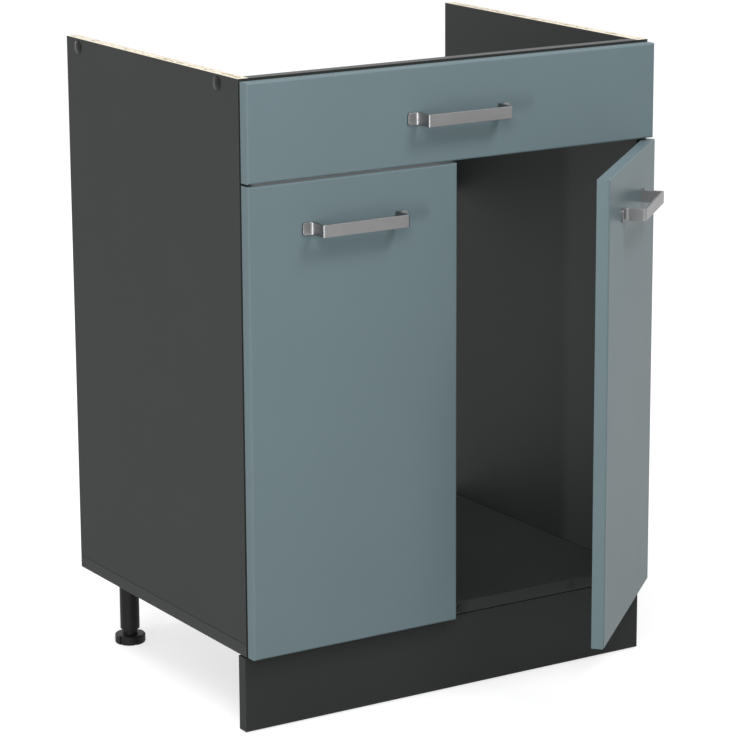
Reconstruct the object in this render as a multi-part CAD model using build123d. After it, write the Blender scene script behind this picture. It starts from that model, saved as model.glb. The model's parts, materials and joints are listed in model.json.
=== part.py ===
from build123d import *
import os

# A sink base cabinet: a board carcass on four adjustable legs, a fixed false front, two doors on
# concealed hinges, three bow handles and a clipped plinth board.
# Working frame: X runs from the left side's outer face to the right, Y from the carcass's front
# edges to the back, Z up from the floor. At the end everything moves to the origin, which is the
# centre of the whole object's footprint at floor level.

# Carcass
WIDTH = 600.0
CARCASS_HEIGHT = 716.0
CARCASS_DEPTH = 444.0
BOARD = 16.0
RAIL_HEIGHT = 100.0
REAR_RAIL_DROP = 160.0
BAND = 0.8
BAND_CHAMFER = 0.4

# Fronts
FRONT_THICKNESS = 16.0
FRONT_STANDOFF = 1.5
SIDE_REVEAL = 1.5
TOP_REVEAL = 3.0
FRONT_SPACING = 3.0
FALSE_FRONT_HEIGHT = 121.0
FRONT_ROUNDING = 2.5
FRONT_BACK_CHAMFER = 0.4

# Bow handles, bent from flat bar
HANDLE_LENGTH = 149.0
HANDLE_BAR_LENGTH = 122.5
HANDLE_PROJECTION = 28.5
HANDLE_HEIGHT = 15.4
HANDLE_STRIP = 3.0
HANDLE_BAR_CORNER = 2.4
HANDLE_INSIDE_CORNER = 0.8
HANDLE_FOOT_CORNER = 3.0
HANDLE_FOOT_BEND = 4.0
HANDLE_EDGE_ROUNDING = 0.5
HANDLE_HOLE_SPACING = 128.0
HANDLE_SCREW_BITE = 2.4
FALSE_FRONT_HANDLE_DROP = 63.0
DOOR_HANDLE_DROP = 58.0

# Legs
LEG_HEIGHT = 100.0
LEG_SIDE_INSET = 45.0
LEG_FRONT_INSET = 52.0
LEG_REAR_INSET = 50.0
SOCKET_RADIUS = 24.0
SOCKET_THICKNESS = 4.0
SPIGOT_LENGTH = 16.0
TUBE_RADIUS = 13.0
TUBE_WALL = 3.0
FOOT_RADIUS = 20.3
FOOT_HEIGHT = 12.0
FOOT_CHAMFER = 1.2
FOOT_EXTENSION = 8.0
FOOT_NOTCHES = 6
FOOT_NOTCH_RADIUS = 1.8
FOOT_NOTCH_INSET = 0.8
FOOT_NOTCH_ANGLE = 24.0
FOOT_STEM_TRAVEL = 9.0
STEM_CLEARANCE = 0.1
LEG_SCREWS = 4
LEG_SCREW_RING_RADIUS = 18.0
LEG_SCREW_LENGTH = 14.0

# Plinth board and its clips on the front legs
PLINTH_FLOOR_GAP = 2.0
PLINTH_TOP_GAP = 2.0
PLINTH_SETBACK = 3.0
CLIP_WALL = 3.0
CLIP_CLEARANCE = 0.1
CLIP_HEIGHT = 18.0
CLIP_MOUTH = 20.0
CLIP_NECK = 12.0
CLIP_PAD_WIDTH = 50.0
CLIP_PAD_THICKNESS = 3.0
CLIP_SCREW_SPACING = 36.0
CLIP_SCREW_LENGTH = 14.0

# Concealed hinges: a cup in the door, a lever and an arm clipped over a mounting plate
HINGE_END_INSET = 90.0
CUP_RADIUS = 17.5
CUP_DEPTH = 12.0
CUP_WALL = 1.2
CUP_INSET = 3.0
CUP_FLANGE = 1.0
CUP_FLANGE_RADIUS = 19.0
CUP_WING_WIDTH = 14.0
CUP_SCREW_SPACING = 52.0
CUP_SCREW_OFFSET = 5.5
CUP_SCREW_LENGTH = 13.0
CUP_LUG_WIDTH = 7.0
CUP_PIN_INSET = 9.0
CUP_PIN_DEPTH = 3.0
CUP_PIN_LENGTH = 19.0
ARM_PIN_INSET = 12.0
ARM_PIN_DEPTH = 7.0
PIN_RADIUS = 1.25
PIN_CLEARANCE = 0.05
LEVER_EYE_RADIUS = 2.6
LEVER_THICKNESS = 2.8
LEVER_BOW = 2.6
LEVER_WIDTH = 12.4
LEVER_SIDE_CLEARANCE = 0.3
ARM_SHEET = 1.5
ARM_ROUNDING = 1.2
ARM_HEIGHT = 13.5
ARM_SKIRT_GAP = 4.0
ARM_NOSE_RADIUS = 3.0
ARM_NECK_LENGTH = 10.0
ARM_WEB_START = 3.0
ARM_REACH = 62.0
ARM_SCREW_SPACING = 20.0
ARM_SCREW_LENGTH = 8.0
PLATE_SETBACK = 37.0
PLATE_SCREW_SPACING = 32.0
PLATE_SCREW_LENGTH = 13.0
PLATE_BASE_THICKNESS = 2.0
PLATE_BASE_WIDTH = 16.0
PLATE_BLOCK_LENGTH = 36.0
PLATE_MARGIN = 7.0

# Motion: a door turns on its levers by up to DOOR_TURN, while the levers turn the other way by
# LEVER_SHARE of that, so a door opens by (1 - LEVER_SHARE) of its turn
LEVER_SHARE = 0.26
RIGHT_DOOR_TURN = 57.5

# Fasteners and small fittings
FASTENER_CLEARANCE = 0.1
DOWEL_RADIUS = 4.0
DOWEL_LENGTH = 30.0
DOWEL_DEPTH_IN_SIDE = 10.0
RAIL_DOWEL_SPACING = 60.0
CAM_RADIUS = 7.5
CAM_DEPTH = 12.5
CAM_INSET = 34.0
CAM_SLOT_LENGTH = 9.0
CAM_SLOT_WIDTH = 2.0
CAM_SLOT_DEPTH = 1.5
BOLT_BITE = 11.0
BOLT_THREAD_RADIUS = 2.6
BOLT_SHANK_RADIUS = 2.0
BOLT_HEAD_RADIUS = 3.2
BOLT_HEAD_LENGTH = 6.0
CONFIRMAT_RADIUS = 3.4
CONFIRMAT_HEAD_RADIUS = 5.0
CONFIRMAT_LENGTH = 50.0
CONFIRMAT_INSET = 40.0
BASE_DOWEL_INSET = 90.0
BASE_DOWEL_DEPTH = 10.0
FALSE_FRONT_SCREW_INSET = 90.0
FALSE_FRONT_SCREW_SPACING = 50.0
FALSE_FRONT_SCREW_BITE = 12.0
SPACER_RADIUS = 7.0
CAP_RADIUS = 9.0
CAP_RIM = 0.4
CAP_CROWN = 1.4
CAP_STUD_RADIUS = 4.0
CAP_STUD_LENGTH = 8.0
CAP_DROP = 11.0
CAP_FRONT_INSET = 50.0
CAP_REAR_INSET = 32.0
BUMPER_RADIUS = 4.0
BUMPER_CLEARANCE = 0.3
BUMPER_INSETS = (110.0, 285.0)
SCREW_RADIUS = 2.0
SCREW_HEAD_RADIUS = 3.8
SCREW_HEAD_HEIGHT = 2.0

# Levels and faces that follow from the sizes above
TOP = LEG_HEIGHT + CARCASS_HEIGHT
FLOOR_OF_CARCASS = LEG_HEIGHT + BOARD
FALSE_FRONT_TOP = TOP - TOP_REVEAL
FALSE_FRONT_BOTTOM = FALSE_FRONT_TOP - FALSE_FRONT_HEIGHT
DOOR_TOP = FALSE_FRONT_BOTTOM - FRONT_SPACING
DOOR_BOTTOM = LEG_HEIGHT
MIDDLE = WIDTH / 2
DOOR_INNER_EDGE = MIDDLE - FRONT_SPACING / 2
DOOR_MIDDLE = (SIDE_REVEAL + DOOR_INNER_EDGE) / 2
FRONT_BACK = -FRONT_STANDOFF
FRONT_FACE = FRONT_BACK - FRONT_THICKNESS
HINGE_LEVELS = (DOOR_BOTTOM + HINGE_END_INSET, DOOR_TOP - HINGE_END_INSET)
CUP_X = SIDE_REVEAL + CUP_INSET + CUP_RADIUS
CUP_PIN = (SIDE_REVEAL + CUP_PIN_INSET, FRONT_BACK - CUP_PIN_DEPTH)
ARM_PIN = (BOARD + ARM_PIN_INSET, -ARM_PIN_DEPTH)
ARM_INSIDE = LEVER_WIDTH / 2 + LEVER_SIDE_CLEARANCE
ARM_OUTSIDE = ARM_INSIDE + ARM_SHEET
ARM_BACK = BOARD + ARM_HEIGHT
RAIL_MIDDLES = {
    "front": (BOARD / 2, TOP - RAIL_HEIGHT / 2),
    "rear": (CARCASS_DEPTH - BOARD / 2, TOP - REAR_RAIL_DROP - RAIL_HEIGHT / 2),
}
LEG_SPOTS = {
    "left_front": (LEG_SIDE_INSET, LEG_FRONT_INSET),
    "right_front": (WIDTH - LEG_SIDE_INSET, LEG_FRONT_INSET),
    "left_rear": (LEG_SIDE_INSET, CARCASS_DEPTH - LEG_REAR_INSET),
    "right_rear": (WIDTH - LEG_SIDE_INSET, CARCASS_DEPTH - LEG_REAR_INSET),
}
TUBE_BORE_RADIUS = TUBE_RADIUS - TUBE_WALL
PLINTH_BACK = PLINTH_SETBACK + BOARD
PLINTH_TOP = LEG_HEIGHT - PLINTH_TOP_GAP
PLINTH_MIDDLE = (PLINTH_FLOOR_GAP + PLINTH_TOP) / 2
TUBE_END = FOOT_HEIGHT + FOOT_EXTENSION
FOOT_STEM_TOP = LEG_HEIGHT - SOCKET_THICKNESS - SPIGOT_LENGTH - FOOT_STEM_TRAVEL


def block(x0, x1, y0, y1, z0, z1):
    """A box between two opposite corners."""
    return Pos((x0 + x1) / 2, (y0 + y1) / 2, (z0 + z1) / 2) * Box(x1 - x0, y1 - y0, z1 - z0)


def rod(start, direction, radius, length):
    """A round bar that runs from a point in a direction."""
    return extrude(Plane(origin=start, z_dir=direction) * Circle(radius), length)


def lathe(start, direction, outline):
    """A turned piece: a closed outline of (radius, height) points about an axis from a point."""
    section = make_face(Polyline(*[(radius, 0, height) for radius, height in outline], close=True))
    return Plane(origin=start, z_dir=direction).location * revolve(section, Axis.Z)


def countersunk_screw(start, direction, length, grow=0.0):
    """A flat-headed screw whose head is flush at the start point, or its hole."""
    head, shank = SCREW_HEAD_RADIUS + grow, SCREW_RADIUS + grow
    end = length + grow
    outline = [(0, 0), (head, 0), (shank, head - shank), (shank, end), (0, end)]
    return lathe(start, direction, outline)


def pan_screw(start, direction, length):
    """A pan-headed screw whose head sits on the surface at the start point."""
    head, crown = SCREW_HEAD_RADIUS, 0.7 * SCREW_HEAD_RADIUS
    outline = [
        (0, -SCREW_HEAD_HEIGHT),
        (crown, -SCREW_HEAD_HEIGHT),
        (head, -0.4 * SCREW_HEAD_HEIGHT),
        (head, 0),
        (SCREW_RADIUS, 0),
        (SCREW_RADIUS, length),
        (0, length),
    ]
    return lathe(start, direction, outline)


def screw_hole(start, direction, length):
    """The hole of a pan-headed screw."""
    return rod(start, direction, SCREW_RADIUS + FASTENER_CLEARANCE, length + FASTENER_CLEARANCE)


def drilled(board, cutters):
    """A board with every cutter taken out of it."""
    for cutter in cutters:
        board -= cutter
    return board


def mirrored(part):
    """The same part on the cabinet's other side."""
    return mirror(part, about=Plane.YZ.offset(MIDDLE))


def both_sides(parts):
    """Left-hand parts and their mirror images."""
    return parts + [mirrored(part) for part in parts]


def turned(part, pivot, degrees):
    """A part turned about the upright line through a plan point."""
    x, y = pivot
    return Pos(x, y, 0) * Rot(0, 0, degrees) * Pos(-x, -y, 0) * part


def front_panel(x0, x1, z0, z1):
    """A front with a rounded border around its face and a fine chamfer around its back."""
    panel = block(x0, x1, FRONT_FACE, FRONT_BACK, z0, z1)
    panel = fillet(panel.faces().sort_by(Axis.Y)[0].edges(), FRONT_ROUNDING)
    return chamfer(panel.faces().sort_by(Axis.Y)[-1].edges(), FRONT_BACK_CHAMFER)


def bow_handle(x, z):
    """A flat bar bent into a bow, with a round-cornered foot turned out at each end."""
    end, bar = HANDLE_LENGTH / 2, HANDLE_BAR_LENGTH / 2
    out, foot = FRONT_FACE - HANDLE_PROJECTION, FRONT_FACE - HANDLE_STRIP
    right = [
        (bar, out, HANDLE_BAR_CORNER),
        (bar, foot, HANDLE_FOOT_BEND),
        (end, foot, 0),
        (end, FRONT_FACE, 0),
        (bar - HANDLE_STRIP, FRONT_FACE, 0),
        (bar - HANDLE_STRIP, out + HANDLE_STRIP, HANDLE_INSIDE_CORNER),
    ]
    corners = right + [(-px, py, radius) for px, py, radius in reversed(right)]
    outline = FilletPolyline(
        *[(x + px, py) for px, py, _ in corners],
        radius=[radius for _, _, radius in corners],
        close=True,
    )
    bow = Pos(0, 0, z - HANDLE_HEIGHT / 2) * extrude(make_face(outline), HANDLE_HEIGHT)
    elevation = Plane(origin=(x, FRONT_FACE, z), x_dir=(1, 0, 0), z_dir=(0, -1, 0))
    plate = RectangleRounded(HANDLE_LENGTH, HANDLE_HEIGHT, HANDLE_FOOT_CORNER)
    bow &= extrude(elevation * plate, 2 * HANDLE_PROJECTION)
    free = [edge for edge in bow.edges() if edge.center().Y < FRONT_FACE - HANDLE_EDGE_ROUNDING]
    flat = [edge for edge in free if edge.bounding_box().size.Z < HANDLE_EDGE_ROUNDING]
    return fillet(flat, HANDLE_EDGE_ROUNDING)


def handle_screw_starts(x, z):
    """Where the two screws of a handle enter the back of its front."""
    half = HANDLE_HOLE_SPACING / 2
    return [(x - half, FRONT_BACK, z), (x + half, FRONT_BACK, z)]


def fitted_handle(x, z):
    """A handle with its tapped holes, its screws, and the holes that they need in the front."""
    starts = handle_screw_starts(x, z)
    length = FRONT_THICKNESS + HANDLE_SCREW_BITE
    grow = FASTENER_CLEARANCE
    holes = [countersunk_screw(start, (0, -1, 0), length, grow) for start in starts]
    screws = [countersunk_screw(start, (0, -1, 0), length) for start in starts]
    return drilled(bow_handle(x, z), holes), screws, holes


def dowel(start, direction, grow=0.0):
    """A plain dowel pin, or its hole."""
    return rod(start, direction, DOWEL_RADIUS + grow, DOWEL_LENGTH)


def rail_dowels(rail, grow=0.0):
    """The two dowels between the left side panel and a rail."""
    y, z = RAIL_MIDDLES[rail]
    start = BOARD - DOWEL_DEPTH_IN_SIDE
    levels = (z - RAIL_DOWEL_SPACING / 2, z + RAIL_DOWEL_SPACING / 2)
    return [dowel((start, y, level), (1, 0, 0), grow) for level in levels]


def cam_bolt(rail):
    """The bolt that stands in the left side panel and is gripped by a rail's cam."""
    y, z = RAIL_MIDDLES[rail]
    neck = CAM_INSET + BOLT_HEAD_LENGTH / 2 - BOLT_HEAD_LENGTH
    tip = CAM_INSET + BOLT_HEAD_LENGTH / 2
    outline = [
        (0, -BOLT_BITE),
        (BOLT_THREAD_RADIUS, -BOLT_BITE),
        (BOLT_THREAD_RADIUS, 0),
        (BOLT_SHANK_RADIUS, 0),
        (BOLT_SHANK_RADIUS, neck),
        (BOLT_HEAD_RADIUS, neck),
        (BOLT_HEAD_RADIUS, tip),
        (0, tip),
    ]
    return lathe((BOARD, y, z), (1, 0, 0), outline)


def cam_face(rail):
    """The face of a rail that its cams are let into, and the direction into the wood."""
    if rail == "front":
        return BOARD, -1
    return CARCASS_DEPTH - BOARD, 1


def cam_pocket(rail, grow=0.0):
    """The round pocket of a cam at the left end of a rail."""
    face, inward = cam_face(rail)
    start = (BOARD + CAM_INSET, face, RAIL_MIDDLES[rail][1])
    return rod(start, (0, inward, 0), CAM_RADIUS + grow, CAM_DEPTH + grow)


def cam_lock(rail):
    """A cam that grips its bolt: a drum with the bolt's path and a screwdriver slot."""
    face, inward = cam_face(rail)
    y, z = RAIL_MIDDLES[rail]
    x = BOARD + CAM_INSET
    path = rod((BOARD, y, z), (1, 0, 0), BOLT_HEAD_RADIUS + FASTENER_CLEARANCE, CAM_INSET + CAM_RADIUS)
    slot = Pos(x, face, z) * Box(CAM_SLOT_WIDTH, 2 * CAM_SLOT_DEPTH, CAM_SLOT_LENGTH)
    return cam_pocket(rail) - path - slot


def rail_cutters(rail):
    """The holes at the left end of a rail."""
    y, z = RAIL_MIDDLES[rail]
    passage = rod((BOARD, y, z), (1, 0, 0), DOWEL_RADIUS, CAM_INSET)
    return rail_dowels(rail, FASTENER_CLEARANCE) + [cam_pocket(rail, FASTENER_CLEARANCE), passage]


def rail_side_cutters(rail):
    """The holes of a rail's dowels and bolt in the left side panel."""
    y, z = RAIL_MIDDLES[rail]
    radius = BOLT_THREAD_RADIUS + FASTENER_CLEARANCE
    bolt = rod((BOARD, y, z), (-1, 0, 0), radius, BOLT_BITE + FASTENER_CLEARANCE)
    return rail_dowels(rail, FASTENER_CLEARANCE) + [bolt]


def base_depths(inset):
    """Two places along the depth, the same distance from the front and from the back."""
    return (inset, CARCASS_DEPTH - inset)


def base_dowels(grow=0.0):
    """The dowels between the bottom board and the left side panel."""
    level = FLOOR_OF_CARCASS - BASE_DOWEL_DEPTH
    depths = base_depths(BASE_DOWEL_INSET)
    return [dowel((BOARD / 2, y, level), (0, 0, 1), grow) for y in depths]


def confirmats(grow=0.0):
    """The screws from under the bottom board up into the left side panel, or their holes."""
    head, shank = CONFIRMAT_HEAD_RADIUS + grow, CONFIRMAT_RADIUS + grow
    end = CONFIRMAT_LENGTH + grow
    outline = [(0, 0), (head, 0), (shank, head - shank), (shank, end), (0, end)]
    depths = base_depths(CONFIRMAT_INSET)
    return [lathe((BOARD / 2, y, LEG_HEIGHT), (0, 0, 1), outline) for y in depths]


def cap_spots():
    """Where the cover caps sit on the left side panel's outer face."""
    level = TOP - CAP_DROP
    return [(0, CAP_FRONT_INSET, level), (0, CARCASS_DEPTH - CAP_REAR_INSET, level)]


def cover_cap(spot):
    """A round cap with a crowned face, slightly proud of the panel, on a stud."""
    outline = [
        (0, -CAP_RIM),
        (CAP_RADIUS, -CAP_RIM),
        (CAP_RADIUS, 0),
        (CAP_STUD_RADIUS, 0),
        (CAP_STUD_RADIUS, CAP_STUD_LENGTH),
        (0, CAP_STUD_LENGTH),
    ]
    crown_radius = (CAP_RADIUS**2 + CAP_CROWN**2) / (2 * CAP_CROWN)
    crown = Pos(crown_radius - CAP_RIM - CAP_CROWN, 0, 0) * Sphere(crown_radius)
    across = 2 * CAP_RADIUS
    crown &= block(-CAP_RIM - CAP_CROWN, -CAP_RIM, -across, across, -across, across)
    return lathe(spot, (1, 0, 0), outline) + Pos(*spot) * crown


def cap_hole(spot):
    """The blind hole of a cover cap's stud."""
    return rod(spot, (1, 0, 0), CAP_STUD_RADIUS + FASTENER_CLEARANCE, CAP_STUD_LENGTH + FASTENER_CLEARANCE)


def plate_screw_starts(level):
    """Where the screws of a mounting plate enter it."""
    x = BOARD + PLATE_BASE_THICKNESS
    half = PLATE_SCREW_SPACING / 2
    return [(x, PLATE_SETBACK, level - half), (x, PLATE_SETBACK, level + half)]


def plate_screws(level, grow=0.0):
    """The flat-headed screws of a mounting plate, or their holes."""
    starts = plate_screw_starts(level)
    return [countersunk_screw(start, (-1, 0, 0), PLATE_SCREW_LENGTH, grow) for start in starts]


def arm_screw_starts(level):
    """Where the two screws of a hinge arm enter its back."""
    half = ARM_SCREW_SPACING / 2
    depths = (PLATE_SETBACK - half, PLATE_SETBACK + half)
    return [(ARM_BACK, y, level) for y in depths]


def mounting_plate(level):
    """A winged plate on the side panel, with the block that a hinge arm clips over."""
    half_base = PLATE_SCREW_SPACING / 2 + PLATE_MARGIN
    half_width = PLATE_BASE_WIDTH / 2
    base = block(
        BOARD,
        BOARD + PLATE_BASE_THICKNESS,
        PLATE_SETBACK - half_width,
        PLATE_SETBACK + half_width,
        level - half_base,
        level + half_base,
    )
    base = fillet(base.edges().filter_by(Axis.X), half_width * 0.8)
    half_block = LEVER_WIDTH / 2
    body = block(
        BOARD,
        ARM_BACK - ARM_SHEET - FASTENER_CLEARANCE,
        PLATE_SETBACK - PLATE_BLOCK_LENGTH / 2,
        PLATE_SETBACK + PLATE_BLOCK_LENGTH / 2,
        level - half_block,
        level + half_block,
    )
    screws = [screw_hole(start, (-1, 0, 0), ARM_SCREW_LENGTH) for start in arm_screw_starts(level)]
    return drilled(base + body, plate_screws(level, FASTENER_CLEARANCE) + screws)


def pin_hole(pivot, level, half_length):
    """The running hole of a hinge pin."""
    start = (pivot[0], pivot[1], level - half_length)
    return rod(start, (0, 0, 1), PIN_RADIUS + PIN_CLEARANCE, 2 * half_length)


def hinge_pin(pivot, level, half_length):
    """A plain hinge pin."""
    start = (pivot[0], pivot[1], level - half_length)
    return rod(start, (0, 0, 1), PIN_RADIUS, 2 * half_length)


def hinge_arm(level):
    """A pressed channel that clips over the plate and holds the lever's pin between its cheeks."""
    x, y = ARM_PIN
    skirt = BOARD + ARM_SKIRT_GAP
    outline = Polyline(
        (x + ARM_NOSE_RADIUS, y),
        (x + ARM_NOSE_RADIUS, 0),
        (ARM_BACK, ARM_NECK_LENGTH),
        (ARM_BACK, ARM_REACH),
        (skirt, ARM_REACH),
        (skirt, ARM_NECK_LENGTH),
        (x - ARM_NOSE_RADIUS, ARM_WEB_START),
        (x - ARM_NOSE_RADIUS, y),
        close=True,
    )
    side = make_face(outline) + Pos(x, y) * Circle(ARM_NOSE_RADIUS)
    arm = Pos(0, 0, level - ARM_OUTSIDE) * extrude(side, 2 * ARM_OUTSIDE)
    rims = arm.faces().filter_by(Axis.Z).edges().filter_by_position(Axis.Y, 0, ARM_REACH, (False, False))
    bends = [edge for edge in rims if edge.center().X > x]
    arm = fillet(bends, ARM_ROUNDING)
    reach = ARM_REACH + ARM_NOSE_RADIUS
    low, high = level - ARM_INSIDE, level + ARM_INSIDE
    arm -= block(0, ARM_BACK - ARM_SHEET, y - reach, reach, low, high)
    arm -= block(0, x + 2 * ARM_NOSE_RADIUS, y - reach, ARM_WEB_START, low, high)
    screws = [screw_hole(start, (-1, 0, 0), ARM_SCREW_LENGTH) for start in arm_screw_starts(level)]
    return drilled(arm, screws + [pin_hole(ARM_PIN, level, ARM_OUTSIDE)])


def hinge_lever(level):
    """The goose-necked lever from the arm's pin to the cup's pin."""
    start, end = Vector(*CUP_PIN), Vector(*ARM_PIN)
    along = (end - start).normalized()
    middle = (start + end) / 2 + Vector(along.Y, -along.X) * LEVER_BOW
    side = trace(ThreePointArc(start, middle, end), LEVER_THICKNESS)
    for pivot in (CUP_PIN, ARM_PIN):
        side += Pos(*pivot) * Circle(LEVER_EYE_RADIUS)
    lever = Pos(0, 0, level - LEVER_WIDTH / 2) * extrude(side, LEVER_WIDTH)
    return drilled(lever, [pin_hole(pivot, level, LEVER_WIDTH) for pivot in (CUP_PIN, ARM_PIN)])


def cup_bore(level, radius, depth):
    """A round pocket in the door's back around a cup's axis."""
    return rod((CUP_X, FRONT_BACK, level), (0, -1, 0), radius, depth)


def cup_screw_starts(level):
    """Where the screws of a hinge cup's flange enter it."""
    half = CUP_SCREW_SPACING / 2
    x, y = CUP_X + CUP_SCREW_OFFSET, FRONT_BACK + CUP_FLANGE
    return [(x, y, level - half), (x, y, level + half)]


def hinge_cup(level):
    """A pressed cup with a winged flange and the two lugs of its pin."""
    cup = cup_bore(level, CUP_RADIUS, CUP_DEPTH)
    flange = rod((CUP_X, FRONT_BACK, level), (0, 1, 0), CUP_FLANGE_RADIUS, CUP_FLANGE)
    wing_x, half_wing = CUP_X + CUP_SCREW_OFFSET, CUP_WING_WIDTH / 2
    half_wings = CUP_SCREW_SPACING / 2 + half_wing
    wings = block(
        wing_x - half_wing,
        wing_x + half_wing,
        FRONT_BACK,
        FRONT_BACK + CUP_FLANGE,
        level - half_wings,
        level + half_wings,
    )
    wings = fillet(wings.edges().filter_by(Axis.Y), half_wing * 0.9)
    hollow_radius, hollow_depth = CUP_RADIUS - CUP_WALL, CUP_DEPTH - CUP_WALL
    hollow = cup_bore(level, hollow_radius, hollow_depth)
    hollow += rod((CUP_X, FRONT_BACK, level), (0, 1, 0), hollow_radius, CUP_FLANGE)
    half_lug = CUP_LUG_WIDTH / 2
    lugs = block(
        CUP_PIN[0] - half_lug,
        CUP_PIN[0] + half_lug,
        FRONT_BACK - CUP_DEPTH,
        FRONT_BACK,
        level - CUP_RADIUS,
        level + CUP_RADIUS,
    )
    lugs -= block(0, WIDTH, FRONT_BACK - CUP_DEPTH, FRONT_BACK, level - ARM_INSIDE, level + ARM_INSIDE)
    shell = cup + flange + wings - hollow
    shell += lugs & cup
    length = CUP_SCREW_LENGTH
    holes = [screw_hole(start, (0, -1, 0), length) for start in cup_screw_starts(level)]
    half_pin = CUP_PIN_LENGTH / 2 + PIN_CLEARANCE
    return drilled(shell, holes + [pin_hole(CUP_PIN, level, half_pin)])


def cup_cutters(level):
    """What a hinge cup and its screws take out of the door."""
    radius, depth = CUP_RADIUS + FASTENER_CLEARANCE, CUP_DEPTH + FASTENER_CLEARANCE
    starts = cup_screw_starts(level)
    holes = [screw_hole(start, (0, -1, 0), CUP_SCREW_LENGTH) for start in starts]
    return [cup_bore(level, radius, depth)] + holes


def side_panel():
    """The left side panel, which stands on the bottom board."""
    panel = block(0, BOARD, BAND, CARCASS_DEPTH - BAND, FLOOR_OF_CARCASS, TOP)
    cutters = [cap_hole(spot) for spot in cap_spots()]
    cutters += base_dowels(FASTENER_CLEARANCE) + confirmats(FASTENER_CLEARANCE)
    for rail in RAIL_MIDDLES:
        cutters += rail_side_cutters(rail)
    for level in HINGE_LEVELS:
        cutters += plate_screws(level, FASTENER_CLEARANCE)
    return drilled(panel, cutters)


def trimmed(band, outward):
    """An edge band with the edges of its outer face chamfered. The face is found along an axis."""
    return chamfer(band.faces().sort_by(outward)[-1].edges(), BAND_CHAMFER)


def side_bands():
    """The front and rear edge bands of the left side panel."""
    front = block(0, BOARD, 0, BAND, FLOOR_OF_CARCASS, TOP)
    rear = block(0, BOARD, CARCASS_DEPTH - BAND, CARCASS_DEPTH, FLOOR_OF_CARCASS, TOP)
    return [trimmed(front, -Axis.Y), trimmed(rear, Axis.Y)]


def bottom_bands():
    """The edge bands around the front and the two ends of the bottom board."""
    front = block(BAND, WIDTH - BAND, 0, BAND, LEG_HEIGHT, FLOOR_OF_CARCASS)
    end = block(0, BAND, 0, CARCASS_DEPTH, LEG_HEIGHT, FLOOR_OF_CARCASS)
    return [trimmed(front, -Axis.Y)] + both_sides([trimmed(end, -Axis.X)])


def leg_screw_starts(x, y):
    """Where the screws of a leg socket enter its flange from below."""
    level = LEG_HEIGHT - SOCKET_THICKNESS
    ring = PolarLocations(LEG_SCREW_RING_RADIUS, LEG_SCREWS, start_angle=45)
    return [(x + spot.position.X, y + spot.position.Y, level) for spot in ring]


def leg_screws(x, y, grow=0.0):
    """The screws of one leg socket, or their holes."""
    starts = leg_screw_starts(x, y)
    return [countersunk_screw(start, (0, 0, 1), LEG_SCREW_LENGTH, grow) for start in starts]


def bottom_board():
    """The bottom board, under both side panels."""
    board = block(BAND, WIDTH - BAND, BAND, CARCASS_DEPTH, LEG_HEIGHT, FLOOR_OF_CARCASS)
    cutters = both_sides(base_dowels(FASTENER_CLEARANCE) + confirmats(FASTENER_CLEARANCE))
    for x, y in LEG_SPOTS.values():
        cutters += leg_screws(x, y, FASTENER_CLEARANCE)
    return drilled(board, cutters)


def false_front_screw_starts():
    """Where the screws through the front rail start, on its inner face."""
    z = RAIL_MIDDLES["front"][1]
    half = FALSE_FRONT_SCREW_SPACING / 2
    xs = (FALSE_FRONT_SCREW_INSET, WIDTH - FALSE_FRONT_SCREW_INSET)
    return [(x, BOARD, level) for x in xs for level in (z - half, z + half)]


FALSE_FRONT_SCREW_LENGTH = BOARD + FRONT_STANDOFF + FALSE_FRONT_SCREW_BITE


def false_front_screw_holes():
    """The holes of those screws."""
    length = FALSE_FRONT_SCREW_LENGTH
    return [screw_hole(start, (0, -1, 0), length) for start in false_front_screw_starts()]


def false_front_spacers():
    """The rings between the rail and the false front, around the screws."""
    rings = []
    for x, _, z in false_front_screw_starts():
        ring = rod((x, 0, z), (0, -1, 0), SPACER_RADIUS, FRONT_STANDOFF)
        rings.append(ring - screw_hole((x, BOARD, z), (0, -1, 0), FALSE_FRONT_SCREW_LENGTH))
    return rings


def rail_board(rail):
    """A board on edge between the side panels."""
    y, z = RAIL_MIDDLES[rail]
    half, rise = BOARD / 2, RAIL_HEIGHT / 2
    board = block(BOARD, WIDTH - BOARD, y - half, y + half, z - rise, z + rise)
    return drilled(board, both_sides(rail_cutters(rail)))


def bumpers():
    """Soft round stops for the doors on the bottom board's front edge."""
    level = LEG_HEIGHT + BOARD / 2
    length = FRONT_STANDOFF - BUMPER_CLEARANCE
    return [rod((x, 0, level), (0, -1, 0), BUMPER_RADIUS, length) for x in BUMPER_INSETS]


def leg_socket(x, y):
    """A round flange under the bottom board, with the spigot that the leg tube fits on."""
    flange = rod((x, y, LEG_HEIGHT), (0, 0, -1), SOCKET_RADIUS, SOCKET_THICKNESS)
    radius = TUBE_BORE_RADIUS - STEM_CLEARANCE
    spigot = rod((x, y, LEG_HEIGHT - SOCKET_THICKNESS), (0, 0, -1), radius, SPIGOT_LENGTH)
    return drilled(flange + spigot, leg_screws(x, y, FASTENER_CLEARANCE))


def leg_tube(x, y):
    """A leg's tube, from the socket's flange down to where the foot's stem shows."""
    length = LEG_HEIGHT - SOCKET_THICKNESS - TUBE_END
    tube = rod((x, y, TUBE_END), (0, 0, 1), TUBE_RADIUS, length)
    return tube - rod((x, y, TUBE_END), (0, 0, 1), TUBE_BORE_RADIUS, length)


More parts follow.
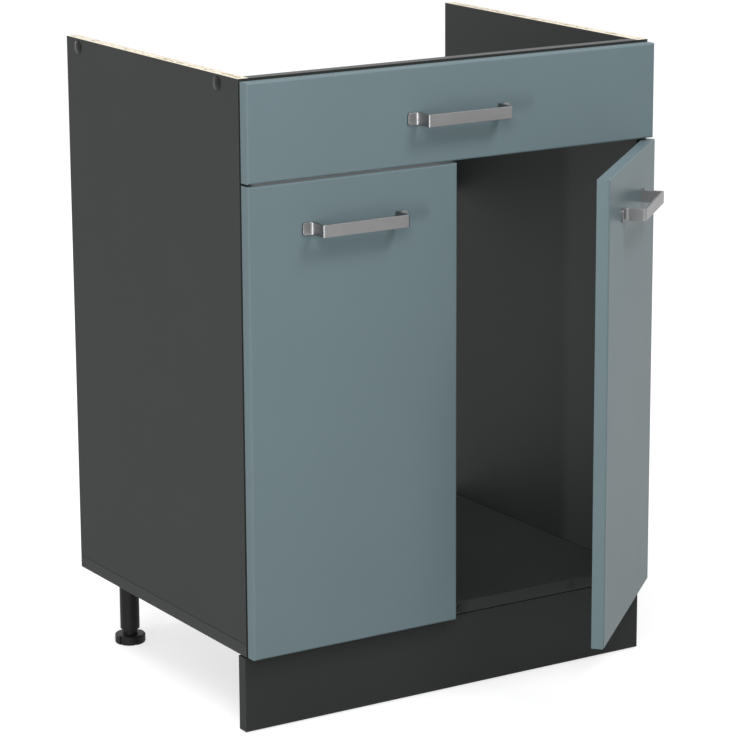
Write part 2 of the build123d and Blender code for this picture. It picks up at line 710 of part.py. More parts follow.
def foot(x, y):
    """An adjustable foot: a notched disc on a stem that runs in the leg tube."""
    stem = TUBE_BORE_RADIUS - STEM_CLEARANCE
    outline = [
        (0, 0),
        (FOOT_RADIUS - FOOT_CHAMFER, 0),
        (FOOT_RADIUS, FOOT_CHAMFER),
        (FOOT_RADIUS, FOOT_HEIGHT - FOOT_CHAMFER),
        (FOOT_RADIUS - FOOT_CHAMFER, FOOT_HEIGHT),
        (stem, FOOT_HEIGHT),
        (stem, FOOT_STEM_TOP),
        (0, FOOT_STEM_TOP),
    ]
    body = lathe((x, y, 0), (0, 0, 1), outline)
    ring = PolarLocations(FOOT_RADIUS - FOOT_NOTCH_INSET, FOOT_NOTCHES, FOOT_NOTCH_ANGLE)
    notches = [Pos(x, y, 0) * spot * Cylinder(FOOT_NOTCH_RADIUS, 2 * FOOT_HEIGHT) for spot in ring]
    return drilled(body, notches)


def plinth_clip_screw_starts(x):
    """Where the screws of a plinth clip enter its pad."""
    half = CLIP_SCREW_SPACING / 2
    y = PLINTH_BACK + CLIP_PAD_THICKNESS
    return [(x - half, y, PLINTH_MIDDLE), (x + half, y, PLINTH_MIDDLE)]


def plinth_clip_screws(x, grow=0.0):
    """The screws of one plinth clip, or their holes."""
    starts = plinth_clip_screw_starts(x)
    return [countersunk_screw(start, (0, -1, 0), CLIP_SCREW_LENGTH, grow) for start in starts]


def plinth_clip(x, y):
    """A spring clip on a front leg, with the pad that is screwed to the plinth board."""
    bore = TUBE_RADIUS + CLIP_CLEARANCE
    outside = bore + CLIP_WALL
    pad_back = PLINTH_BACK + CLIP_PAD_THICKNESS
    side = Pos(x, y) * Circle(outside)
    side += Pos(x, (pad_back + y) / 2) * Rectangle(CLIP_NECK, y - pad_back)
    side += Pos(x, PLINTH_BACK + CLIP_PAD_THICKNESS / 2) * Rectangle(CLIP_PAD_WIDTH, CLIP_PAD_THICKNESS)
    side -= Pos(x, y) * Circle(bore)
    side -= Pos(x, y + outside / 2) * Rectangle(CLIP_MOUTH, outside)
    clip = Pos(0, 0, PLINTH_MIDDLE - CLIP_HEIGHT / 2) * extrude(side, CLIP_HEIGHT)
    return drilled(clip, plinth_clip_screws(x, FASTENER_CLEARANCE))


def plinth_board():
    """The plinth board, set back under the fronts."""
    board = block(0, WIDTH, PLINTH_SETBACK, PLINTH_BACK, PLINTH_FLOOR_GAP, PLINTH_TOP)
    cutters = []
    for x in (LEG_SIDE_INSET, WIDTH - LEG_SIDE_INSET):
        cutters += plinth_clip_screws(x, FASTENER_CLEARANCE)
    return drilled(board, cutters)


def false_front():
    """The fixed front across the top, its handle and the handle's screws."""
    z = FALSE_FRONT_TOP - FALSE_FRONT_HANDLE_DROP
    handle, screws, holes = fitted_handle(MIDDLE, z)
    panel = front_panel(SIDE_REVEAL, WIDTH - SIDE_REVEAL, FALSE_FRONT_BOTTOM, FALSE_FRONT_TOP)
    return drilled(panel, holes + false_front_screw_holes()), handle, screws


def door_assembly():
    """Everything that swings with the closed left-hand door."""
    handle, screws, holes = fitted_handle(DOOR_MIDDLE, DOOR_TOP - DOOR_HANDLE_DROP)
    panel = front_panel(SIDE_REVEAL, DOOR_INNER_EDGE, DOOR_BOTTOM, DOOR_TOP)
    cup_screws = []
    for level in HINGE_LEVELS:
        holes = holes + cup_cutters(level)
        starts = cup_screw_starts(level)
        cup_screws += [pan_screw(start, (0, -1, 0), CUP_SCREW_LENGTH) for start in starts]
    return {
        "door": [drilled(panel, holes)],
        "door_handle": [handle],
        "door_handle_screws": screws,
        "hinge_cups": [hinge_cup(level) for level in HINGE_LEVELS],
        "cup_pins": [hinge_pin(CUP_PIN, level, CUP_PIN_LENGTH / 2) for level in HINGE_LEVELS],
        "cup_screws": cup_screws,
    }


def swung_levers(parts, turn):
    """Left-hand levers when the door has turned on them by an angle."""
    return [turned(part, ARM_PIN, LEVER_SHARE * turn) for part in parts]


def swung_door(parts, turn):
    """Left-hand door parts at the same position."""
    return swung_levers([turned(part, CUP_PIN, -turn) for part in parts], turn)


def hinge_assembly():
    """What the left-hand hinges leave fixed on the side panel."""
    adjusters = []
    screws = []
    for level in HINGE_LEVELS:
        starts = arm_screw_starts(level)
        adjusters += [pan_screw(start, (-1, 0, 0), ARM_SCREW_LENGTH) for start in starts]
        screws += plate_screws(level)
    return {
        "hinge_arms": [hinge_arm(level) for level in HINGE_LEVELS],
        "arm_pins": [hinge_pin(ARM_PIN, level, ARM_OUTSIDE) for level in HINGE_LEVELS],
        "mounting_plates": [mounting_plate(level) for level in HINGE_LEVELS],
        "mounting_plate_screws": screws,
        "hinge_adjusting_screws": adjusters,
    }


def all_nodes():
    """Every node's pieces by name, in the working frame."""
    side, bands = side_panel(), side_bands()
    front, front_handle, front_handle_screws = false_front()
    dowels = base_dowels()
    for rail in RAIL_MIDDLES:
        dowels += rail_dowels(rail)
    clip_xs = (LEG_SIDE_INSET, WIDTH - LEG_SIDE_INSET)
    length = FALSE_FRONT_SCREW_LENGTH
    nodes = {
        "left_side_panel": [side],
        "right_side_panel": [mirrored(side)],
        "left_side_edge_bands": bands,
        "right_side_edge_bands": [mirrored(band) for band in bands],
        "bottom_board": [bottom_board()],
        "bottom_edge_bands": bottom_bands(),
        "front_rail": [drilled(rail_board("front"), false_front_screw_holes())],
        "rear_rail": [rail_board("rear")],
        "dowels": both_sides(dowels),
        "cam_locks": both_sides([cam_lock(rail) for rail in RAIL_MIDDLES]),
        "cam_bolts": both_sides([cam_bolt(rail) for rail in RAIL_MIDDLES]),
        "confirmat_screws": both_sides(confirmats()),
        "cover_caps": both_sides([cover_cap(spot) for spot in cap_spots()]),
        "door_bumpers": both_sides(bumpers()),
        "false_front": [front],
        "false_front_handle": [front_handle],
        "false_front_handle_screws": front_handle_screws,
        "false_front_spacers": false_front_spacers(),
        "false_front_screws": [
            pan_screw(start, (0, -1, 0), length) for start in false_front_screw_starts()
        ],
        "plinth_board": [plinth_board()],
        "plinth_clips": [plinth_clip(x, LEG_FRONT_INSET) for x in clip_xs],
        "plinth_clip_screws": [screw for x in clip_xs for screw in plinth_clip_screws(x)],
        "leg_sockets": [leg_socket(x, y) for x, y in LEG_SPOTS.values()],
        "leg_tubes": [leg_tube(x, y) for x, y in LEG_SPOTS.values()],
        "leg_screws": [screw for x, y in LEG_SPOTS.values() for screw in leg_screws(x, y)],
    }
    for name, (x, y) in LEG_SPOTS.items():
        nodes[f"{name}_foot"] = [foot(x, y)]
    for name, parts in hinge_assembly().items():
        nodes[f"left_{name}"] = parts
        nodes[f"right_{name}"] = [mirrored(part) for part in parts]
    levers = [hinge_lever(level) for level in HINGE_LEVELS]
    nodes["left_hinge_levers"] = levers
    nodes["right_hinge_levers"] = [mirrored(part) for part in swung_levers(levers, RIGHT_DOOR_TURN)]
    for name, parts in door_assembly().items():
        nodes[f"left_{name}"] = parts
        nodes[f"right_{name}"] = [mirrored(part) for part in swung_door(parts, RIGHT_DOOR_TURN)]
    return nodes


def joined(parts):
    """Separate solids as one group."""
    return Compound([solid for part in parts for solid in part.solids()])


NODES = {name: joined(parts) for name, parts in all_nodes().items()}
EXTENT = joined(NODES.values()).bounding_box()
ORIGIN = (EXTENT.center().X, EXTENT.center().Y, 0.0)

os.makedirs("parts", exist_ok=True)
for node_name, solids in NODES.items():
    export_step(Pos(*ORIGIN).inverse() * solids, f"parts/{node_name}.step")
print("origin in the working frame", [round(value, 3) for value in ORIGIN])
print("size", EXTENT.size)
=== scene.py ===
"""Looks of the sink base cabinet: materials, screws with drives, studio and camera. Metres."""

import json
import math

import bmesh
import bpy
import numpy as np
from mathutils import Matrix, Vector


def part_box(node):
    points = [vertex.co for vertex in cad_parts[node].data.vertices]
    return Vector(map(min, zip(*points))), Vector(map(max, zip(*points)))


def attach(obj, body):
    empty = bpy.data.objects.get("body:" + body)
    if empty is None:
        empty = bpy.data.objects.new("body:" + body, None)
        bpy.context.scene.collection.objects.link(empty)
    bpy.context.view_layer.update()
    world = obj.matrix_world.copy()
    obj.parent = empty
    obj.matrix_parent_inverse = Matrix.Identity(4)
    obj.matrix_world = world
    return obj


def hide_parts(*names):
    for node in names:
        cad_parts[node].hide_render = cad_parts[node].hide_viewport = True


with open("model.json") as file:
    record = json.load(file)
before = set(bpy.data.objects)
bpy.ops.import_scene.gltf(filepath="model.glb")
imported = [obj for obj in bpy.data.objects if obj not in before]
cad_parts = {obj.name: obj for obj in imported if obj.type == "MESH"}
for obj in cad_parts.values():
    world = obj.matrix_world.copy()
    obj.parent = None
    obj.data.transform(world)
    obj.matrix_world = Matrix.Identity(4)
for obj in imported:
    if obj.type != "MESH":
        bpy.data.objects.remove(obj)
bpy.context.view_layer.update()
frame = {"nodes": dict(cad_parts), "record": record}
MM = 0.001
FOIL = 0.35 * MM
# Height of the painted shade line at the side panels' foot, where the joint to the bottom board
# lies in shadow
SHADE_LINE_HEIGHT = 0.9 * MM
TOP_SKIN = 0.02 * MM

# Places that the looks depend on, read from the frame
LEFT_OUTER, SIDE_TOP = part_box("left_side_panel")[0][0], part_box("left_side_panel")[1][2]
SIDE_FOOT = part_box("left_side_panel")[0][2]
LEFT_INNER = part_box("left_side_panel")[1][0]
RIGHT_INNER, RIGHT_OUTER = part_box("right_side_panel")[0][0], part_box("right_side_panel")[1][0]

# Colours as linear RGB
BLUE_GREY = (0.126, 0.171, 0.185)
GRAPHITE = (0.0230, 0.0250, 0.0245)
PLINTH_GREY = (0.0210, 0.0230, 0.0225)
CHIPBOARD = (0.60, 0.54, 0.43)
CHIPBOARD_PALE = (0.74, 0.70, 0.60)
CHIPBOARD_DARK = (0.27, 0.20, 0.12)
SATIN_NICKEL = (0.240, 0.240, 0.243)
BRIGHT_STEEL = (0.62, 0.61, 0.59)
BLACK_PLASTIC = (0.0060, 0.0060, 0.0064)
CAP_GREY = (0.007, 0.0073, 0.0073)
# Painted shade: near-black colour for the shadowed joint at the side panels' foot
PAINTED_JOINT_SHADE = (0.004, 0.004, 0.004)
BEECH = (0.62, 0.42, 0.24)
BEECH_FLECK = (0.5, 0.31, 0.16)
DARK_RUBBER = (0.024, 0.026, 0.0255)

# Reflection levels of the boards, and where the fronts' roughness lies
FRONT_GLOSS = 0.045
FRONT_ROUGHNESS = (0.335, 0.345)
BOARD_GLOSS = 0.15
BOARD_ROUGHNESS = 0.6


class Shader:
    """A material's nodes, with short calls that add one node and return its output."""

    def __init__(self, name):
        self.material = bpy.data.materials.new(name)
        self.material.use_nodes = True
        self.tree = self.material.node_tree
        self.surface = self.tree.nodes["Principled BSDF"]

    def set(self, **values):
        """Sets sockets of the surface shader by name, with spaces as underscores."""
        for key, value in values.items():
            socket = self.surface.inputs[key.replace("_", " ")]
            if isinstance(value, bpy.types.NodeSocket):
                self.tree.links.new(value, socket)
            elif isinstance(value, tuple) and len(value) == 3:
                socket.default_value = (*value, 1.0)
            else:
                socket.default_value = value

    def node(self, kind, inputs=(), **settings):
        """Adds a node with some inputs filled and settings made."""
        made = self.tree.nodes.new(kind)
        for key, value in settings.items():
            setattr(made, key, value)
        for key, value in dict(inputs).items():
            if isinstance(value, bpy.types.NodeSocket):
                self.tree.links.new(value, made.inputs[key])
            else:
                made.inputs[key].default_value = value
        return made

    def place(self, stretch=(1, 1, 1)):
        """The point on the object, stretched."""
        coordinates = self.node("ShaderNodeTexCoord").outputs["Object"]
        mapping = self.node("ShaderNodeMapping", {"Vector": coordinates, "Scale": stretch})
        return mapping.outputs["Vector"]

    def noise(self, scale, detail=2.0, roughness=0.5, where=None):
        """Cloudy noise, from 0 to 1."""
        inputs = {"Scale": scale, "Detail": detail, "Roughness": roughness}
        inputs["Vector"] = where or self.place()
        return self.node("ShaderNodeTexNoise", inputs).outputs["Fac"]

    def cells(self, scale, where):
        """Cells of random colour."""
        inputs = {"Scale": scale, "Vector": where}
        return self.node("ShaderNodeTexVoronoi", inputs).outputs["Color"]

    def maths(self, operation, first, second=0.0):
        """One step of arithmetic."""
        made = self.node("ShaderNodeMath", {0: first, 1: second}, operation=operation)
        return made.outputs[0]

    def spread(self, value, low, high, to_low=0.0, to_high=1.0):
        """A value brought from one range to another."""
        inputs = {"Value": value, "From Min": low, "From Max": high}
        inputs.update({"To Min": to_low, "To Max": to_high})
        return self.node("ShaderNodeMapRange", inputs).outputs["Result"]

    def blend(self, factor, first, second):
        """Two colours mixed by a factor."""
        mix = self.node("ShaderNodeMix", data_type="RGBA")
        for key, value in ((0, factor), (6, first), (7, second)):
            if isinstance(value, bpy.types.NodeSocket):
                self.tree.links.new(value, mix.inputs[key])
            elif isinstance(value, tuple):
                mix.inputs[key].default_value = (*value, 1.0)
            else:
                mix.inputs[key].default_value = value
        return mix.outputs[2]

    def bump(self, height, depth, strength, normal=None):
        """A surface normal from a height, whose full range is so many metres deep."""
        inputs = {"Height": height, "Distance": depth, "Strength": strength}
        if normal is not None:
            inputs["Normal"] = normal
        return self.node("ShaderNodeBump", inputs).outputs["Normal"]

    def mottled(self, colour, scale, amount):
        """A colour that varies a little in brightness."""
        darker = tuple(part * (1 - amount) for part in colour)
        lighter = tuple(part * (1 + amount) for part in colour)
        return self.blend(self.spread(self.noise(scale, 3.0), 0.3, 0.7), darker, lighter)


def front_laminate():
    """Soft matt blue-grey foil, with the faint orange peel of pressed board."""
    shader = Shader("blue_grey_front")
    colour = shader.mottled(BLUE_GREY, 7.0, 0.018)
    peel = shader.noise(420.0, 2.0)
    grain = shader.noise(2600.0, 1.0)
    normal = shader.bump(grain, 0.004 * MM, 0.5, shader.bump(peel, 0.008 * MM, 0.5))
    roughness = shader.spread(shader.noise(30.0), 0.3, 0.7, *FRONT_ROUGHNESS)
    shader.set(Base_Color=colour, Roughness=roughness, Normal=normal)
    shader.set(Specular_IOR_Level=FRONT_GLOSS)
    return shader.material


def melamine(name, colour, rough=BOARD_ROUGHNESS, gloss=BOARD_GLOSS):
    """Graphite melamine with a fine pearl texture."""
    shader = Shader(name)
    pearls = shader.noise(900.0, 2.0, 0.6)
    fine = shader.noise(3800.0, 1.0)
    normal = shader.bump(fine, 0.012 * MM, 0.6, shader.bump(pearls, 0.05 * MM, 0.6))
    roughness = shader.spread(pearls, 0.3, 0.7, rough - 0.05, rough + 0.05)
    tint = shader.mottled(colour, 12.0, 0.03)
    shader.set(Base_Color=tint, Roughness=roughness, Normal=normal, Specular_IOR_Level=gloss)
    return shader.material


def front_rail_board():
    """Graphite melamine, with a smoother top edge."""
    shader = Shader("front_rail_board")
    coordinates = shader.node("ShaderNodeTexCoord").outputs["Object"]
    height = shader.node("ShaderNodeSeparateXYZ", {0: coordinates}).outputs[2]
    on_top = shader.maths("GREATER_THAN", height, SIDE_TOP - TOP_SKIN)
    roughness = shader.spread(on_top, 0.0, 1.0, BOARD_ROUGHNESS, 0.4)
    tint = shader.mottled(GRAPHITE, 12.0, 0.03)
    normal = shader.bump(shader.noise(1200.0, 2.0), 0.01 * MM, 0.5)
    shader.set(Base_Color=tint, Roughness=roughness, Normal=normal)
    shader.set(Specular_IOR_Level=BOARD_GLOSS)
    return shader.material


def chipboard(shader, across):
    """The colour and height of wood chips, with darker ones in the board's core."""
    chips = shader.cells(380.0, shader.place((1.0, 0.3, 1.0)))
    tone = shader.node("ShaderNodeSeparateColor", {"Color": chips}).outputs[0]
    flour = shader.noise(1500.0, 3.0, 0.7)
    fine = shader.blend(shader.spread(flour, 0.3, 0.7), CHIPBOARD, CHIPBOARD_PALE)
    core = shader.spread(across, 0.35, 0.6, 1.0, 0.0)
    share = shader.spread(core, 0.0, 1.0, 0.15, 0.9)
    dark = shader.maths("MULTIPLY", shader.spread(tone, 0.72, 0.86), share)
    return shader.blend(dark, fine, CHIPBOARD_DARK), tone


def side_board(name, outer, inner):
    """Melamine on both faces of a side panel, a bare top edge and a painted shade line at its foot,
    for the shadowed joint to the bottom board.
    """
    shader = Shader(name)
    coordinates = shader.node("ShaderNodeTexCoord").outputs["Object"]
    spot = shader.node("ShaderNodeSeparateXYZ", {0: coordinates}).outputs
    middle, half = (outer + inner) / 2, abs(outer - inner) / 2
    off_middle = shader.maths("ABSOLUTE", shader.maths("SUBTRACT", spot[0], middle))
    across = shader.maths("DIVIDE", off_middle, half)
    wood, chips = chipboard(shader, across)
    between = shader.maths("LESS_THAN", off_middle, half - FOIL)
    at_top = shader.maths("GREATER_THAN", spot[2], SIDE_TOP - TOP_SKIN)
    bare = shader.maths("MULTIPLY", between, at_top)
    pearls = shader.noise(900.0, 2.0, 0.6)
    # Painted shade: a near-black line along the panel's foot stands in for the shadow in the joint
    # to the bottom board
    painted_shade_at_foot = shader.maths("LESS_THAN", spot[2], SIDE_FOOT + SHADE_LINE_HEIGHT)
    foil_with_painted_shade = shader.blend(painted_shade_at_foot, shader.mottled(GRAPHITE, 12.0, 0.03), PAINTED_JOINT_SHADE)
    colour = shader.blend(bare, foil_with_painted_shade, wood)
    height = shader.blend(bare, pearls, chips)
    depth = shader.bump(height, 0.06 * MM, 0.6)
    roughness = shader.maths("ADD", shader.maths("MULTIPLY", bare, 0.3), 0.55)
    shader.set(Base_Color=colour, Roughness=roughness, Normal=depth)
    shader.set(Specular_IOR_Level=BOARD_GLOSS)
    return shader.material


def edge_band():
    """Graphite plastic band, a little smoother than the board."""
    shader = Shader("edge_band")
    normal = shader.bump(shader.noise(1200.0, 2.0), 0.03 * MM, 0.5)
    colour = shader.mottled(GRAPHITE, 20.0, 0.03)
    shader.set(Base_Color=colour, Roughness=0.5, Normal=normal, Specular_IOR_Level=BOARD_GLOSS)
    return shader.material


def brushed(name, colour, rough, stretch, depth=0.01):
    """Metal with fine lines along one direction."""
    shader = Shader(name)
    lines = shader.noise(1.0, 3.0, 0.6, shader.place(stretch))
    roughness = shader.spread(lines, 0.3, 0.7, rough - 0.05, rough + 0.06)
    tint = shader.mottled(colour, 60.0, 0.03)
    normal = shader.bump(lines, depth * MM, 0.5)
    shader.set(Base_Color=tint, Metallic=1.0, Roughness=roughness, Normal=normal)
    return shader.material


def plastic(name, colour, rough, grain, gloss):
    """Moulded plastic with a fine spark-eroded grain."""
    shader = Shader(name)
    normal = shader.bump(shader.noise(1400.0, 2.0, 0.6), grain * MM, 0.7)
    tint = shader.mottled(colour, 40.0, 0.06)
    shader.set(Base_Color=tint, Roughness=rough, Normal=normal, Specular_IOR_Level=gloss)
    return shader.material


def raw_beech():
    """Turned beech with fine flecks."""
    shader = Shader("beech")
    flecks = shader.noise(300.0, 4.0, 0.6, shader.place((0.15, 1.0, 1.0)))
    colour = shader.blend(shader.spread(flecks, 0.3, 0.7), BEECH, BEECH_FLECK)
    shader.set(Base_Color=colour, Roughness=0.75, Normal=shader.bump(flecks, 0.05 * MM, 0.5))
    return shader.material


ALONG_X, ALONG_Z = (12.0, 3500.0, 3500.0), (3500.0, 3500.0, 12.0)
MATERIALS = {
    "blue_grey_front": front_laminate(),
    "graphite_board": melamine("graphite_board", GRAPHITE),
    "front_rail_board": front_rail_board(),
    "left_side_board": side_board("left_side_board", LEFT_OUTER, LEFT_INNER),
    "right_side_board": side_board("right_side_board", RIGHT_OUTER, RIGHT_INNER),
    "bottom_board": melamine("bottom_board", GRAPHITE, 0.85, 0.02),
    "plinth_board": melamine("plinth_board", PLINTH_GREY),
    "edge_band": edge_band(),
    "satin_nickel": brushed("satin_nickel", SATIN_NICKEL, 0.40, ALONG_X),
    "hinge_steel": brushed("hinge_steel", BRIGHT_STEEL, 0.26, ALONG_Z),
    "zinc": brushed("zinc", BRIGHT_STEEL, 0.32, (900.0, 900.0, 900.0), 0.02),
    "black_plastic": plastic("black_plastic", BLACK_PLASTIC, 0.5, 0.03, 0.2),
    "cap_plastic": plastic("cap_plastic", CAP_GREY, 0.2, 0.004, 0.14),
    "beech": raw_beech(),
    "bumper_rubber": plastic("bumper_rubber", DARK_RUBBER, 0.6, 0.01, 0.1),
}


def dress(piece, name):
    """Gives a piece one of the materials."""
    piece.data.materials.clear()
    piece.data.materials.append(MATERIALS[name])


SLOTS = {part["node"]: part["material_slot"] for part in frame["record"]["subparts"]}
for node, piece in frame["nodes"].items():
    dress(piece, SLOTS[node])
dress(frame["nodes"]["left_side_panel"], "left_side_board")
dress(frame["nodes"]["right_side_panel"], "right_side_board")
dress(frame["nodes"]["front_rail"], "front_rail_board")
dress(frame["nodes"]["bottom_board"], "bottom_board")

# Screws, turned from the CAD rings with a drive cut into the head
BODIES = frame["record"]["behaviour"]["bodies"]
BODY_OF = {node: body for body, nodes in BODIES.items() for node in nodes}
SEGMENTS = 36
MERGE = 0.001 * MM
END_SLICE = 0.2 * MM
RING_TOLERANCE = 0.05 * MM
SHARP_ANGLE = 25
CROSS_ARM, CROSS_HALF_WIDTH, CROSS_DEPTH = 1.9 * MM, 0.42 * MM, 1.3 * MM
HEXAGON_RADIUS, HEXAGON_DEPTH = 2.3 * MM, 2.6 * MM
FLOOR_SHARE = 0.6  # of the recess's floor to its mouth
FIRST_TURN, TURN_STEP = 0.4, 2.4  # radians, so that no two screws stop alike
CROSS_FLOOR = ((0, 1, 10, 11), (1, 2, 3, 4), (4, 5, 6, 7), (7, 8, 9, 10), (1, 4, 7, 10))
HEXAGON_FLOOR = ((0, 1, 2, 3, 4, 5),)


def cross(arm, half_width):
    """The twelve corners of a cross recess, anticlockwise."""
    quarter = [(arm, half_width), (half_width, half_width), (half_width, arm)]
    corners = []
    for _ in range(4):
        corners += quarter
        quarter = [(-y, x) for x, y in quarter]
    return corners


def hexagon(radius):
    """The six corners of a hexagon socket, anticlockwise."""
    turns = [math.radians(30 + 60 * count) for count in range(6)]
    return [(radius * math.cos(turn), radius * math.sin(turn)) for turn in turns]


def solids(node):
    """The points of each separate solid of a CAD node."""
    shape = bmesh.new()
    shape.from_mesh(frame["nodes"][node].data)
    bmesh.ops.remove_doubles(shape, verts=shape.verts, dist=MERGE)
    waiting = set(shape.verts)
    while waiting:
        front = [waiting.pop()]
        found = []
        while front:
            point = front.pop()
            found.append(tuple(point.co))
            for edge in point.link_edges:
                other = edge.other_vert(point)
                if other in waiting:
                    waiting.discard(other)
                    front.append(other)
        yield np.array(found)
    shape.free()


def turned_rings(points):
    """A turned solid's head end as a matrix, and its rings by depth below the head and radius."""
    middle = points.mean(axis=0)
    spread, ways = np.linalg.eigh(np.cov((points - middle).T))
    axis = ways[:, 2] if spread[2] - spread[1] > spread[1] - spread[0] else ways[:, 0]
    along = (points - middle) @ axis
    ends = [points[np.abs(along - end) < END_SLICE] for end in (along.min(), along.max())]
    tip, head = (end.mean(axis=0) for end in ends)
    pairs = zip(ends, (tip, head))
    radii = [np.linalg.norm(end - centre, axis=1).max() for end, centre in pairs]
    if radii[0] > radii[1]:
        tip, head = head, tip
    outward = (head - tip) / np.linalg.norm(head - tip)
    depths = (head - points) @ outward
    radius = np.linalg.norm(points - head + np.outer(depths, outward), axis=1)
    rings = []
    for depth, width in zip(depths, radius):
        near = [ring for ring in rings if math.dist(ring, (depth, width)) < RING_TOLERANCE]
        if not near:
            rings.append((float(depth), float(width)))
    turn = Vector(outward).to_track_quat("Z", "Y").to_matrix().to_4x4()
    rings.sort(key=lambda ring: (-round(ring[0], 5), ring[1]))
    return Matrix.Translation(head) @ turn, rings


def stitched(shape, outer, inner):
    """Fills the flat ring between a circle and a recess, both listed anticlockwise from angle 0."""
    turns = [
        [math.atan2(point.co.y, point.co.x) % math.tau for point in loop] + [math.tau + 0.3]
        for loop in (outer, inner)
    ]
    first = second = 0
    while first < len(outer) or second < len(inner):
        here, there = outer[first % len(outer)], inner[second % len(inner)]
        late = second == len(inner) or turns[0][min(first + 1, len(outer))] <= turns[1][second]
        if first < len(outer) and late:
            first += 1
            shape.faces.new((here, outer[first % len(outer)], there))
        else:
            second += 1
            shape.faces.new((here, inner[second % len(inner)], there))


def driven_screw(shape, points, outline, floor, depth, turn):
    """Adds one screw with a recess of that outline, whose walls lean in to its floor."""
    place, rings = turned_rings(points)
    loops = []
    for below, radius in rings:
        loop = []
        for count in range(SEGMENTS):
            angle = math.tau * count / SEGMENTS
            spot = (radius * math.cos(angle), radius * math.sin(angle), -below)
            loop.append(shape.verts.new(spot))
        loops.append(loop)
    shape.faces.new(loops[0])
    for lower, upper in zip(loops, loops[1:]):
        for count in range(SEGMENTS):
            after = (count + 1) % SEGMENTS
            shape.faces.new((lower[count], lower[after], upper[after], upper[count]))
    mouth = [shape.verts.new((x, y, 0.0)) for x, y in outline]
    base = [shape.verts.new((FLOOR_SHARE * x, FLOOR_SHARE * y, -depth)) for x, y in outline]
    stitched(shape, loops[-1], mouth)
    for count in range(len(mouth)):
        after = (count + 1) % len(mouth)
        shape.faces.new((mouth[count], mouth[after], base[after], base[count]))
    for corners in floor:
        shape.faces.new([base[corner] for corner in corners])
    made = [point for loop in (*loops, mouth, base) for point in loop]
    spin = place @ Matrix.Rotation(turn, 4, "Z")
    bmesh.ops.transform(shape, matrix=spin, verts=made)


def driven_screws(node, outline, floor, depth):
    """All screws of a node as one piece, each stopped at its own angle."""
    shape = bmesh.new()
    found = sorted(solids(node), key=lambda points: tuple(points.mean(axis=0)))
    for count, points in enumerate(found):
        driven_screw(shape, points, outline, floor, depth, FIRST_TURN + TURN_STEP * count)
    bmesh.ops.recalc_face_normals(shape, faces=shape.faces)
    mesh = bpy.data.meshes.new(node + "_driven")
    shape.to_mesh(mesh)
    shape.free()
    for polygon in mesh.polygons:
        polygon.use_smooth = True
    mesh.set_sharp_from_angle(angle=math.radians(SHARP_ANGLE))
    piece = bpy.data.objects.new(node + "_driven", mesh)
    bpy.context.collection.objects.link(piece)
    mesh.materials.append(MATERIALS[SLOTS[node]])
    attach(piece, BODY_OF[node])
    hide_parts(node)


CROSS_SCREWS = [
    "false_front_handle_screws",
    "false_front_screws",
    "plinth_clip_screws",
    "leg_screws",
]
for side in ("left", "right"):
    CROSS_SCREWS += [side + "_mounting_plate_screws", side + "_hinge_adjusting_screws"]
    CROSS_SCREWS += [side + "_door_handle_screws", side + "_cup_screws"]
for node in CROSS_SCREWS:
    driven_screws(node, cross(CROSS_ARM, CROSS_HALF_WIDTH), CROSS_FLOOR, CROSS_DEPTH)
driven_screws("confirmat_screws", hexagon(HEXAGON_RADIUS), HEXAGON_FLOOR, HEXAGON_DEPTH)

# Studio
FLOOR_SIZE = 60.0
FLOOR_GLOW_NEAR, FLOOR_GLOW_FAR = 0.68, 0.84
FLOOR_ALBEDO = 0.45
AMBIENT = 0.42
GLOW_START, GLOW_END = 0.6, 2.0


def studio_floor():
    """A wide pale floor that is white in the open and keeps the object's soft shadow."""
    mesh = bpy.data.meshes.new("floor")
    half = FLOOR_SIZE / 2
    corners = [(-half, -half, 0), (half, -half, 0), (half, half, 0), (-half, half, 0)]
    mesh.from_pydata(corners, [], [(0, 1, 2, 3)])
    floor = bpy.data.objects.new("floor", mesh)
    bpy.context.collection.objects.link(floor)
    shader = Shader("studio_floor")
    rays = shader.node("ShaderNodeLightPath").outputs
    seen = shader.maths("MAXIMUM", rays["Is Camera Ray"], rays["Is Glossy Ray"])
    seen = shader.maths("MAXIMUM", seen, rays["Is Transmission Ray"])
    place = shader.node("ShaderNodeNewGeometry").outputs["Position"]
    away = shader.node("ShaderNodeVectorMath", {0: place}, operation="LENGTH").outputs["Value"]
    glow = shader.spread(away, GLOW_START, GLOW_END, FLOOR_GLOW_NEAR, FLOOR_GLOW_FAR)
    glow = shader.maths("MULTIPLY", seen, glow)
    albedo = (FLOOR_ALBEDO, FLOOR_ALBEDO, FLOOR_ALBEDO)
    shader.set(Base_Color=albedo, Roughness=1.0, Specular_IOR_Level=0.0)
    shader.set(Emission_Color=(1.0, 1.0, 1.0), Emission_Strength=glow)
    mesh.materials.append(shader.material)


def studio_world():
    """An even pale surround, white where it is seen."""
    world = bpy.data.worlds.new("studio")
    bpy.context.scene.world = world
    world.use_nodes = True
    nodes, links = world.node_tree.nodes, world.node_tree.links
    background = nodes["Background"]
    background.inputs["Color"].default_value = (1.0, 1.0, 1.0, 1.0)
    rays = nodes.new("ShaderNodeLightPath").outputs
    strength = nodes.new("ShaderNodeMapRange")
    strength.inputs["To Min"].default_value = AMBIENT
    strength.inputs["To Max"].default_value = 1.0
    seen = rays["Is Camera Ray"]
    for other in ("Is Glossy Ray", "Is Transmission Ray"):
        either = nodes.new("ShaderNodeMath")
        either.operation = "MAXIMUM"
        links.new(seen, either.inputs[0])
        links.new(rays[other], either.inputs[1])
        seen = either.outputs[0]
    links.new(seen, strength.inputs["Value"])
    links.new(strength.outputs["Result"], background.inputs["Strength"])


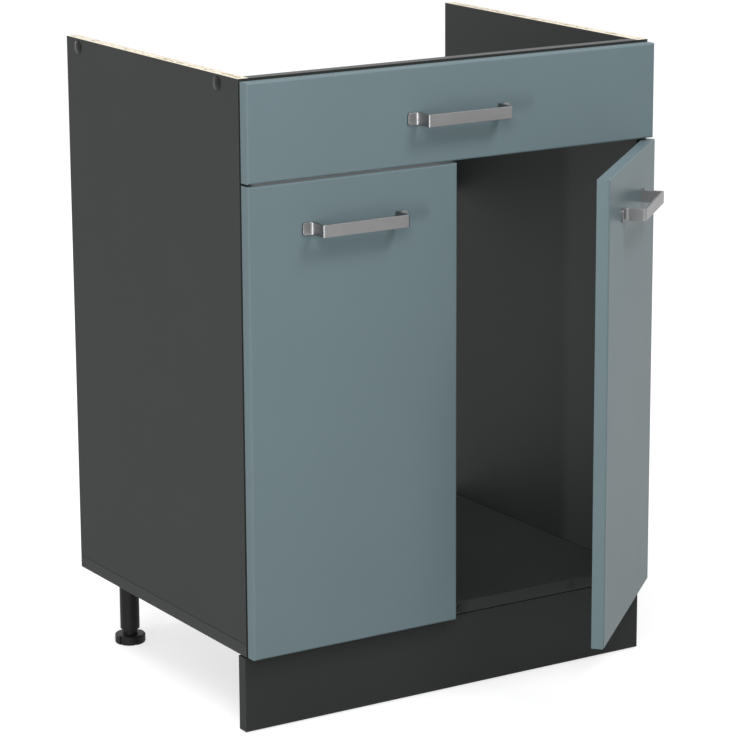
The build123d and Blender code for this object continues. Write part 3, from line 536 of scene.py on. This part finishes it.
def softbox(name, place, target, width, height, power):
    """A rectangular area lamp that faces a point."""
    lamp = bpy.data.lights.new(name, "AREA")
    lamp.shape = "RECTANGLE"
    lamp.size, lamp.size_y, lamp.energy = width, height, power
    holder = bpy.data.objects.new(name, lamp)
    bpy.context.collection.objects.link(holder)
    holder.location = place
    direction = Vector(target) - Vector(place)
    holder.rotation_euler = direction.to_track_quat("-Z", "Y").to_euler()


# Lamps: name, place, target, width and height in metres, watts
LAMPS = (
    ("key", (-1.4, -2.2, 2.1), (0.0, -0.2, 0.5), 1.2, 1.2, 32.0),
    ("strip", (-2.1, -1.35, 0.5), (-0.3, -0.25, 0.5), 0.14, 0.8, 24.0),
    ("rim", (-0.1, 3.2, 1.3), (0.0, 0.0, 0.4), 1.4, 1.4, 20.0),
    ("top", (-0.9, 0.3, 3.0), (0.0, 0.1, 0.8), 1.6, 1.6, 36.0),
    ("fill", (0.5, -1.3, 2.1), (0.05, -0.25, 0.65), 0.6, 0.6, 19.0),
)

# Camera, fitted to the photograph's measured edges
CAMERA_PLACE = (-2.1251, -3.3252, 1.3814)
CAMERA_YAW = 31.96
CAMERA_PITCH = 13.94
CAMERA_ROLL = -0.31
FOCAL_PIXELS = 3166.1
IMAGE_PIXELS = 736
SENSOR = 36.0


def camera():
    """The photograph's viewpoint."""
    lens = bpy.data.cameras.new("camera")
    lens.sensor_width = SENSOR
    lens.lens = SENSOR * FOCAL_PIXELS / IMAGE_PIXELS
    holder = bpy.data.objects.new("camera", lens)
    bpy.context.collection.objects.link(holder)
    tilt = math.pi / 2 - math.radians(CAMERA_PITCH)
    turn = Matrix.Rotation(-math.radians(CAMERA_YAW), 4, "Z") @ Matrix.Rotation(tilt, 4, "X")
    turn = turn @ Matrix.Rotation(math.radians(CAMERA_ROLL), 4, "Z")
    holder.matrix_world = Matrix.Translation(CAMERA_PLACE) @ turn
    bpy.context.scene.camera = holder


studio_floor()
studio_world()
for lamp in LAMPS:
    softbox(*lamp)
camera()
bpy.context.scene.view_settings.view_transform = "Standard"
